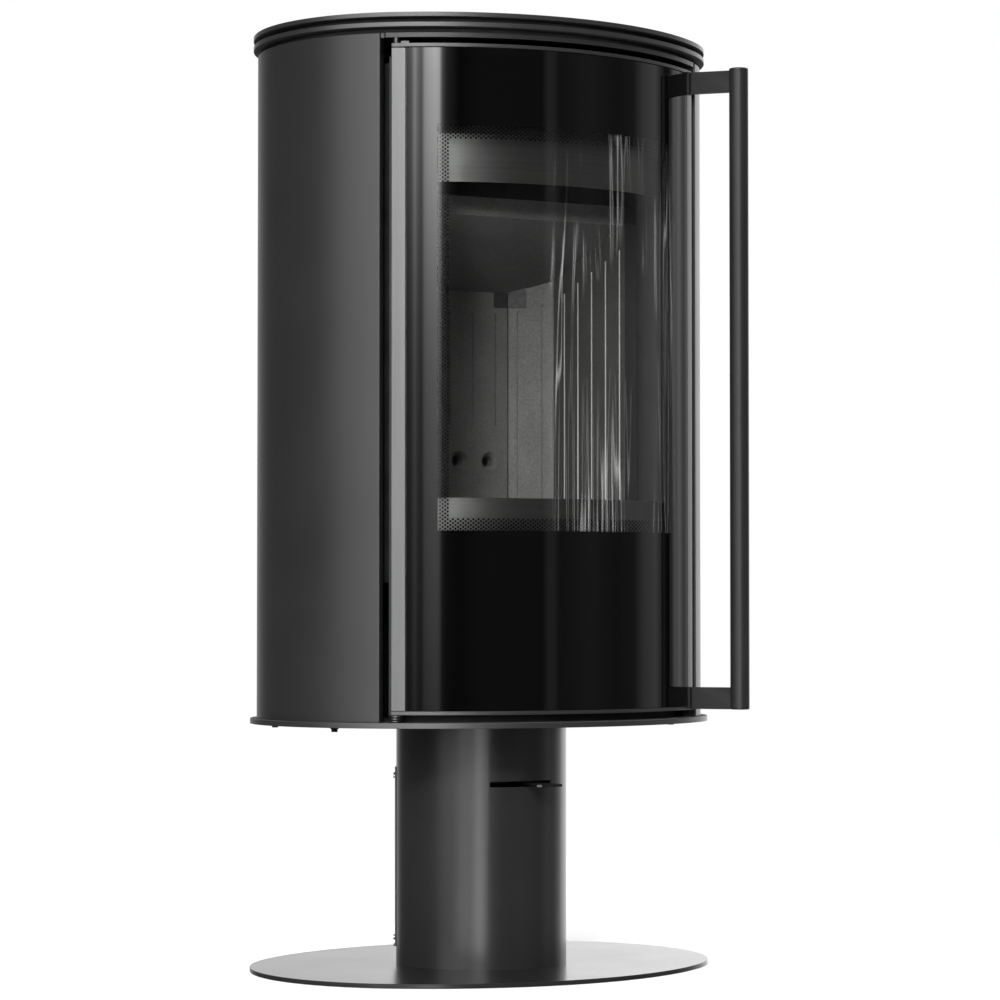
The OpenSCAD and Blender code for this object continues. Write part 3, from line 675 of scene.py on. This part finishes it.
def side_panels():
    """Curved skins with a fold inwards at their front and back edges."""
    front_a = -math.degrees(math.acos((PANEL_FRONT_X - END_C) / END_R))
    back_a = END_A - PANEL_BACK_GAP_A
    c = (END_C, 0)
    fold_r, inner_r = END_R - PANEL_FOLD, END_R - PANEL_T
    outline = arc(c, END_R, front_a, back_a)
    outline += [polar(c, fold_r, back_a), polar(c, fold_r, back_a - PANEL_T_A)]
    outline += list(reversed(arc(c, inner_r, front_a + PANEL_T_A, back_a - PANEL_T_A)))
    outline += [polar(c, fold_r, front_a + PANEL_T_A), polar(c, fold_r, front_a)]
    outline = rounded(outline, 0.0016)
    for side, node in ((1, "right_side_panel"), (-1, "left_side_panel")):
        loop = [(side * x, y) for x, y in outline]
        prism(node + "_shaped", [loop], SKIN_Z0, SKIN_Z1, "stove", [node], PAINT, "painted_steel", 0.0005)


side_panels()

# ---------------------------------------------------------------- door

RAIL_DEPTH = 0.022
RAIL_T = 0.004
RAIL_EDGE = 0.0003
LUG_A = (-36.2, -34.5)
LUG_T = 0.0025
LUG_Z = 0.0035  # the lug grows out of the rail from here


def door_rails():
    """The rails over and under the glass, with holes for the hinge pins, and the lug on the upper one."""
    rail = rounded(front(0, -DOOR_A, DOOR_A) + list(reversed(front(-RAIL_DEPTH, -DOOR_A, DOOR_A))), 0.001)
    loops = [rail, circle(HINGE, PIN_HOLE_R, 12)]
    prism("door_bottom_rail_shaped", loops, *z_of("door_bottom_rail"), "door", ["door_bottom_rail"],
          EDGE_PAINT, "painted_steel", RAIL_EDGE)
    z0, z1 = z_of("door_top_rail")
    lug = rounded(front(0, *LUG_A, 0.4) + list(reversed(front(-LUG_T, *LUG_A, 0.4))), 0.0006)
    parts = [prism_data(loops, z0, z0 + RAIL_T, RAIL_EDGE), prism_data([lug], z0 + LUG_Z, z1, RAIL_EDGE)]
    add_mesh("door_top_rail_shaped", *joined(parts), "door", ["door_top_rail"], EDGE_PAINT, "painted_steel")


STRIP_T = 0.003
STRIP_FLANGE_A = 0.35  # thickness of the flange, as an angle of the front
LEDGE_A = 1.6  # how far the ledge reaches behind the glass
LEDGE_OFF = (-0.0075, -0.0045)
STRIP_STEP_A = 0.5
STRIP_GAPS = (0.0005, 0.001)  # at its foot and its head


def door_strips():
    """The steel strips beside the glass, each with a flange at its outer edge and a ledge behind the pane."""
    ledge_a, edge_a = STRIP_A - LEDGE_A, DOOR_A - STRIP_FLANGE_A
    outline = front(0, STRIP_A, DOOR_A, STRIP_STEP_A)
    outline += [front_point(-RAIL_DEPTH, DOOR_A), front_point(-RAIL_DEPTH, edge_a)]
    outline += list(reversed(front(LEDGE_OFF[0], ledge_a, edge_a, STRIP_STEP_A)))
    outline += front(LEDGE_OFF[1], ledge_a, edge_a, STRIP_STEP_A)
    outline += list(reversed(front(-STRIP_T, STRIP_A, edge_a, STRIP_STEP_A)))
    outline = rounded(outline, 0.0009)
    z0, z1 = z_of("door_right_stile")
    for side, node in ((1, "door_right_stile"), (-1, "door_left_stile")):
        loop = [(side * x, y) for x, y in outline]
        prism(node + "_shaped", [loop], z0 + STRIP_GAPS[0], z1 - STRIP_GAPS[1], "door", [node],
              STRIP_STEEL, "satin_steel", 0.0005)


door_rails()
door_strips()

# Cells of the pane's grid across each black border and across the window
BORDER_CELLS = 10
WINDOW_CELLS = 116


def glazing():
    """The curved pane: clear in the window, black round it, with rows of printed dots where they meet."""
    z0, z1 = z_of("door_glass")
    window_a = front_angle(WINDOW_X)
    border = PANE_A - window_a
    a_cuts = [-PANE_A + border * i / BORDER_CELLS for i in range(BORDER_CELLS)]
    a_cuts += [-window_a + 2 * window_a * i / WINDOW_CELLS for i in range(WINDOW_CELLS)]
    a_cuts += [window_a + border * i / BORDER_CELLS for i in range(BORDER_CELLS + 1)]
    z_cuts = [z0, *WINDOW_Z, z1]

    def clear(i, j):
        return j == 1 and BORDER_CELLS <= i < BORDER_CELLS + WINDOW_CELLS

    def black(i, j):
        return not clear(i, j)

    pane = band_grid(a_cuts, z_cuts, clear, -GLASS_T, 0)
    surround = band_grid(a_cuts, z_cuts, black, -GLASS_T, 0)
    add_mesh("door_glass_clear", *pane, "door", ["door_glass"], GLASS, "door_glass")
    add_mesh("door_glass_black", *surround, "door", [], BLACK_GLASS, "door_glass")
    add_mesh("door_glass_dots", *joined(dots(window_a)), "door", [], PRINT, "door_glass", smooth=False)


def band_grid(a_cuts, z_cuts, keep, in_off, out_off):
    """A thin curved sheet of the front arc, made of the cells that keep() wants."""
    verts, faces, index = [], [], {}

    def vertex(i, j, side):
        key = (i, j, side)
        if key not in index:
            index[key] = len(verts)
            x, y = polar((0, FACE_K), FACE_R + (out_off if side else in_off), a_cuts[i] - 90)
            verts.append((x, y, z_cuts[j]))
        return index[key]

    cells = {(i, j) for i in range(len(a_cuts) - 1) for j in range(len(z_cuts) - 1) if keep(i, j)}
    for i, j in sorted(cells):
        corner = [(i, j), (i + 1, j), (i + 1, j + 1), (i, j + 1)]
        faces.append(tuple(vertex(a, b, 1) for a, b in corner))
        faces.append(tuple(vertex(a, b, 0) for a, b in reversed(corner)))
        for k, near in enumerate(((i, j - 1), (i + 1, j), (i, j + 1), (i - 1, j))):
            if near not in cells:
                p, q = corner[k], corner[(k + 1) % 4]
                faces.append((vertex(*p, 0), vertex(*q, 0), vertex(*q, 1), vertex(*p, 1)))
    return verts, faces


PRINT_OFF = -GLASS_T - 0.0001
PRINT_T = 0.00015
DOT_SIDES = 8
DOT_R = 0.00128
DOT_COLUMN, DOT_ROW = 0.00285, 0.00208
DOT_BAND = 0.0138


def dot(a, z, r):
    """A small round of print on the inside of the glass."""
    verts = []
    for off in (PRINT_OFF, PRINT_OFF - PRINT_T):
        for k in range(DOT_SIDES):
            t = 2 * math.pi * k / DOT_SIDES
            verts.append((*front_point(off, a + math.degrees(r * math.cos(t) / FACE_R)), z + r * math.sin(t)))
    faces = [tuple(range(DOT_SIDES)), tuple(range(2 * DOT_SIDES - 1, DOT_SIDES - 1, -1))]
    for k in range(DOT_SIDES):
        near = (k + 1) % DOT_SIDES
        faces.append((k, k + DOT_SIDES, near + DOT_SIDES, near))
    return verts, faces


def dots(window_a):
    """Staggered rows of small dots that fill a band along each side of the window."""
    half = math.radians(window_a) * FACE_R
    z_low, z_high = WINDOW_Z
    out = []
    for i in range(math.ceil(2 * half / DOT_COLUMN)):
        for j in range(math.ceil((z_high - z_low) / DOT_ROW)):
            s, z = -half + i * DOT_COLUMN, z_low + j * DOT_ROW
            inner = abs(s) < half - DOT_BAND and z_low + DOT_BAND < z < z_high - DOT_BAND
            if (i + j) % 2 == 0 and not inner and abs(s) < half and z < z_high:
                out.append(dot(math.degrees(s / FACE_R), z, DOT_R))
    return out


glazing()

ROUNDING = 0.0007  # of the handle's ends
SEAM = 0.0003
SEAM_HALF = 0.0001


def handle():
    """The bar with its end caps, and a fine seam where each cap meets the tube."""
    lo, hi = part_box("handle_tube")
    cap_lo, cap_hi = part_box("handle_end_caps")
    r = (hi.x - lo.x) / 2
    flat_r = r - 2 * ROUNDING
    near, far = ROUNDING * 0.4, ROUNDING * 0.6
    profile = [(0, cap_lo.z), (flat_r, cap_lo.z), (r - far, cap_lo.z + near), (r, cap_lo.z + 2 * ROUNDING)]
    for z in (lo.z, hi.z):
        below, above = z - SEAM_HALF, z + SEAM_HALF
        profile += [(r, below), (r - SEAM, below), (r - SEAM, above), (r, above)]
    profile += [(r, cap_hi.z - 2 * ROUNDING), (r - far, cap_hi.z - near), (flat_r, cap_hi.z), (0, cap_hi.z)]
    verts, faces = lathe_data(profile, ((lo.x + hi.x) / 2, (lo.y + hi.y) / 2))
    add_mesh("handle_bar", verts, faces, "door", ["handle_tube", "handle_end_caps"],
             HANDLE_PAINT, "painted_steel")


handle()

WASHER_COUNT = 3
WASHER_RIM = 0.0009
WASHER_GAP = 0.0001


def washers():
    """Turned washers under the door, each with rounded rims that leave a dark line between them."""
    lo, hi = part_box("hinge_washers")
    r = (hi.x - lo.x) / 2
    rim_r, shoulder = r - WASHER_RIM, 0.3 * WASHER_RIM
    pitch = (hi.z - lo.z + WASHER_GAP) / WASHER_COUNT
    parts = []
    for i in range(WASHER_COUNT):
        z0 = lo.z + i * pitch
        z1 = z0 + pitch - WASHER_GAP
        profile = [(PIN_HOLE_R, z0), (rim_r, z0), (r - shoulder, z0 + shoulder), (r, z0 + WASHER_RIM)]
        profile += [(r, z1 - WASHER_RIM), (r - shoulder, z1 - shoulder), (rim_r, z1), (PIN_HOLE_R, z1)]
        parts.append(lathe_data(profile, HINGE, 48))
    add_mesh("hinge_washers_turned", *joined(parts), "stove", ["hinge_washers"],
             WASHER_STEEL, "fastener_steel")


washers()

ROPE_R = 0.0049
ROPE_OFF = -0.018
ROPE_CORNER = 0.012
ROPE_STEP = 0.002
ROPE_SIDES = 20
ROPE_STRANDS = 6
ROPE_TWIST = 420  # radians of knit in each metre
ROPE_RELIEF = 0.10  # depth of the knit as a share of the radius


def rope_path():
    """A closed loop with round corners, as (distance round the front, height) points."""
    lo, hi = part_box("rope_gasket")
    rope_arc_r = FACE_R + ROPE_OFF
    half = math.radians(front_angle(hi.x, ROPE_OFF)) * rope_arc_r - ROPE_R
    low, high = lo.z + ROPE_R, hi.z - ROPE_R
    path = rounded([(-half, low), (half, low), (half, high), (-half, high)], ROPE_CORNER, 8)
    dense = []
    for a, b in zip(path, path[1:] + path[:1]):
        a, b = Vector(a), Vector(b)
        n = max(1, round((b - a).length / ROPE_STEP))
        dense += [a + (b - a) * i / n for i in range(n)]
    return dense


def rope_seal():
    """Knitted rope in a closed loop, pressed between the door's frame and the firebox front."""
    path = rope_path()
    count = len(path)
    verts, faces = [], []
    total = 0.0
    for i, p in enumerate(path):
        along = (path[(i + 1) % count] - path[i - 1]).normalized()
        side = Vector((along.y, -along.x))
        total += (p - path[i - 1]).length
        for k in range(ROPE_SIDES):
            t = 2 * math.pi * k / ROPE_SIDES
            strand, twist = ROPE_STRANDS * t / 2, total * ROPE_TWIST
            knit = abs(math.sin(strand + twist)) * abs(math.sin(strand - twist))
            r = ROPE_R * (1 - ROPE_RELIEF + ROPE_RELIEF * knit)
            flat = p + side * (r * math.cos(t))
            place = front_point(ROPE_OFF + r * math.sin(t), math.degrees(flat.x / (FACE_R + ROPE_OFF)))
            verts.append((*place, flat.y))
    for i in range(count):
        a, b = i * ROPE_SIDES, (i + 1) % count * ROPE_SIDES
        for k in range(ROPE_SIDES):
            near = (k + 1) % ROPE_SIDES
            faces.append((a + k, b + k, b + near, a + near))
    add_mesh("rope_gasket_knitted", verts, faces, "door", ["rope_gasket"], ROPE, "seal_rope")


rope_seal()

# ---------------------------------------------------------------- stage, light, camera

FLOOR_GLOW = 0.12
FLOOR_HALF = 30.0
FLOOR_Z = -0.0004
FADE = (0.55, 2.2)  # the floor turns into the backdrop between these distances
BACKDROP = 1.0


def stage():
    """A pale floor that runs into the backdrop."""
    n = Nodes("floor_pale")
    cloud = n.noise(3.0)
    n.set(Base_Color=n.ramp(cloud, [(0.3, 0.83), (0.7, 0.86)]), Roughness=0.8, Specular_IOR_Level=0.1)
    seen = n.add("LightPath").outputs["Is Camera Ray"]
    glow = n.add("Emission", Strength=n.math("MULTIPLY", seen, FLOOR_GLOW))
    lit = n.add("AddShader")
    n.link(n.shader.outputs[0], lit.inputs[0])
    n.link(glow.outputs[0], lit.inputs[1])
    far_glow = n.add("Emission", Strength=n.math("MULTIPLY", seen, BACKDROP))
    distance = n.add("VectorMath", operation="LENGTH")
    n.link(n.coords, distance.inputs[0])
    away = n.add("MapRange", Value=distance.outputs["Value"], interpolation_type="SMOOTHSTEP",
                 **{"From Min": FADE[0], "From Max": FADE[1]})
    mix = n.blend(away.outputs["Result"], lit, far_glow)
    n.link(mix.outputs[0], n.output.inputs["Surface"])
    corners = [(-1, -1), (1, -1), (1, 1), (-1, 1)]
    mesh = bpy.data.meshes.new("floor")
    mesh.from_pydata([(FLOOR_HALF * x, FLOOR_HALF * y, 0) for x, y in corners], [], [(0, 1, 2, 3)])
    mesh.materials.append(n.material)
    floor = bpy.data.objects.new("floor", mesh)
    floor.location.z = FLOOR_Z
    floor.visible_glossy = False
    bpy.context.scene.collection.objects.link(floor)


# Each light is its radiance by azimuth times its share by elevation, both as (degrees, value) stops.
# Azimuth 0 is in front of the door and positive towards the handle; elevation is above the horizon.
KEY_AROUND = [
    (-62, 0), (-58, 3.0), (-46, 1.8), (-42.5, 1.2), (-40, 1.2), (-38.9, 2.6), (-37.9, 5.2), (-36.8, 2.9),
    (-35.6, 1.6), (-35, 2.0), (-34.2, 5.8), (-32, 7.6), (-30, 8.4), (-28.5, 9.0), (-27.7, 6.0), (-26.6, 0.9),
    (-25, 0.25), (-20, 0),
]
KEY_UP = [
    (-60, 0.1), (-30, 0.9), (-9, 1.4), (-4, 1.2), (-2.4, 0.065), (-2, 0.065), (1, 0.13), (2.4, 0.17),
    (3.8, 0.22), (5.2, 0.33), (6.5, 0.52), (7.9, 0.79), (9.2, 1.0), (13, 2.6), (26, 2.9), (38, 1.2),
    (60, 0.1),
]
FILL_AROUND = [(-92, 0), (-86, 2.6), (-62, 2.6), (-58, 0)]
FILL_UP = [(-60, 0.05), (-8, 0.15), (0, 0.3), (8, 0.9), (14, 1.3), (40, 1.4), (60, 0.1)]
ROOM_AROUND = [
    (-180, 0.25), (-168, 0.12), (-110, 0.05), (-60, 0.05), (-20, 0.0), (-10, 0.05), (10, 0.05), (16, 0.05),
    (18, 0.28), (21, 0.25), (23, 0.08), (30, 0.12), (38, 0.16), (44, 0.12), (52, 0.08), (62, 0.12),
    (68, 0.45), (76, 0.6), (79, 0.3), (83, 0.05), (97, 0.05), (104, 0.3), (180, 0.25),
]
ROOM_UP = [(-90, 0.6), (-5, 0.7), (5, 1.0), (90, 1.0)]
WALL_AROUND = [
    (-180, 0.25), (-174, 0.1), (-170, 0), (86.5, 0), (88, 0.06), (89.5, 0.34), (91.3, 0.64), (93, 0.5),
    (94.5, 0.75), (96.2, 0.75), (98, 0.3), (100, 0.16), (102, 0.12), (106, 1.3), (112, 2.0), (146, 1.8),
    (149, 1.6), (152, 1.1), (166, 0.9), (176, 0.4), (180, 0.25),
]
WALL_UP = [(-60, 0.1), (-12, 0.7), (-6, 0.7), (-3, 0.75), (5, 0.95), (12, 1.0), (50, 0.9), (70, 0.3)]
SKY_AROUND = [(-180, 1.0), (180, 1.0)]
SKY_UP = [(45, 0), (60, 1.4), (90, 1.6)]
LIGHTS = [
    (KEY_AROUND, KEY_UP),  # a soft box in front on the left, with a sharp inner edge and a dark bar
    (FILL_AROUND, FILL_UP),  # a broad soft box at the left
    (ROOM_AROUND, ROOM_UP),  # a dim room, with a faint window in front on the right
    (WALL_AROUND, WALL_UP),  # the white wall behind and the light on it
    (SKY_AROUND, SKY_UP),  # soft light from above
]


def world():
    """The sum of the lights, which the camera sees as a plain white backdrop."""
    w = bpy.data.worlds.new("studio")
    w.use_nodes = True
    bpy.context.scene.world = w
    tree = w.node_tree

    def add(kind, **settings):
        node = tree.nodes.new("ShaderNode" + kind)
        for key, value in settings.items():
            setattr(node, key, value)
        return node

    def math_node(kind, a, b):
        node = add("Math", operation=kind)
        for socket, value in zip(node.inputs, (a, b)):
            if isinstance(value, bpy.types.NodeSocket):
                tree.links.new(value, socket)
            else:
                socket.default_value = value
        return node.outputs[0]

    def profile(fac, stops, place):
        """A curve through stops; place turns an angle into the ramp's position."""
        top = max(value for angle, value in stops)
        ramp = add("ValToRGB")
        tree.links.new(fac, ramp.inputs["Fac"])
        elements = ramp.color_ramp.elements
        while len(elements) < len(stops):
            elements.new(0.5)
        for element, (angle, value) in zip(elements, stops):
            element.position = place(angle)
            element.color = (value / top, value / top, value / top, 1)
        return math_node("MULTIPLY", ramp.outputs["Color"], top)

    split = add("SeparateXYZ")
    tree.links.new(add("TexCoord").outputs["Generated"], split.inputs[0])
    x, y, z = split.outputs
    turn = math_node("ARCTAN2", x, math_node("MULTIPLY", y, -1.0))
    round_fac = math_node("ADD", math_node("MULTIPLY", turn, 1 / (2 * math.pi)), 0.5)
    tall_fac = math_node("ADD", math_node("MULTIPLY", z, 0.5), 0.5)

    def around(stops):
        return profile(round_fac, stops, lambda angle: angle / 360 + 0.5)

    def upwards(stops):
        return profile(tall_fac, stops, lambda angle: math.sin(math.radians(angle)) / 2 + 0.5)

    total = None
    for wide, tall in LIGHTS:
        part = math_node("MULTIPLY", around(wide), upwards(tall))
        total = part if total is None else math_node("ADD", total, part)
    background = tree.nodes["Background"]
    tree.links.new(total, background.inputs["Color"])
    seen = add("Background")
    seen.inputs["Color"].default_value = (BACKDROP, BACKDROP, BACKDROP, 1)
    mix = add("MixShader")
    tree.links.new(add("LightPath").outputs["Is Camera Ray"], mix.inputs[0])
    tree.links.new(background.outputs[0], mix.inputs[1])
    tree.links.new(seen.outputs[0], mix.inputs[2])
    tree.links.new(mix.outputs[0], tree.nodes["World Output"].inputs["Surface"])


LAMP_PLACE = (-1.37, -1.8, 1.1)
LAMP_TARGET = (0.1, 0.05, 0.7)
LAMP_SIZE = 0.2
LAMP_POWER = 34.0


def firebox_lamp():
    """A soft light through the window that leaves no reflection of its own."""
    data = bpy.data.lights.new("firebox_light", "AREA")
    data.shape = "DISK"
    data.size = LAMP_SIZE
    data.energy = LAMP_POWER
    lamp = bpy.data.objects.new("firebox_light", data)
    lamp.location = LAMP_PLACE
    lamp.rotation_euler = (Vector(LAMP_TARGET) - Vector(LAMP_PLACE)).to_track_quat("-Z", "Y").to_euler()
    lamp.visible_glossy = False
    bpy.context.scene.collection.objects.link(lamp)


LENS = 120.67
VIEW_DISTANCE = 3.878
VIEW_TURN = math.radians(30)  # from the front, towards the hinge
VIEW_HEIGHT = 0.4184
VIEW_LIFT = 0.0305  # radians above level
VIEW_PAN = 0.0056  # radians right of the stove's middle


def camera():
    """The view from the left of the door, a little over the pillar."""
    data = bpy.data.cameras.new("camera")
    data.sensor_width = 36.0
    data.lens = LENS
    eye = bpy.data.objects.new("camera", data)
    eye.location = (-VIEW_DISTANCE * math.sin(VIEW_TURN), -VIEW_DISTANCE * math.cos(VIEW_TURN), VIEW_HEIGHT)
    eye.rotation_euler = (math.pi / 2 + VIEW_LIFT, 0, -(VIEW_TURN + VIEW_PAN))
    bpy.context.scene.collection.objects.link(eye)
    bpy.context.scene.camera = eye


stage()
world()
firebox_lamp()
camera()
bpy.context.scene.view_settings.view_transform = "Standard"
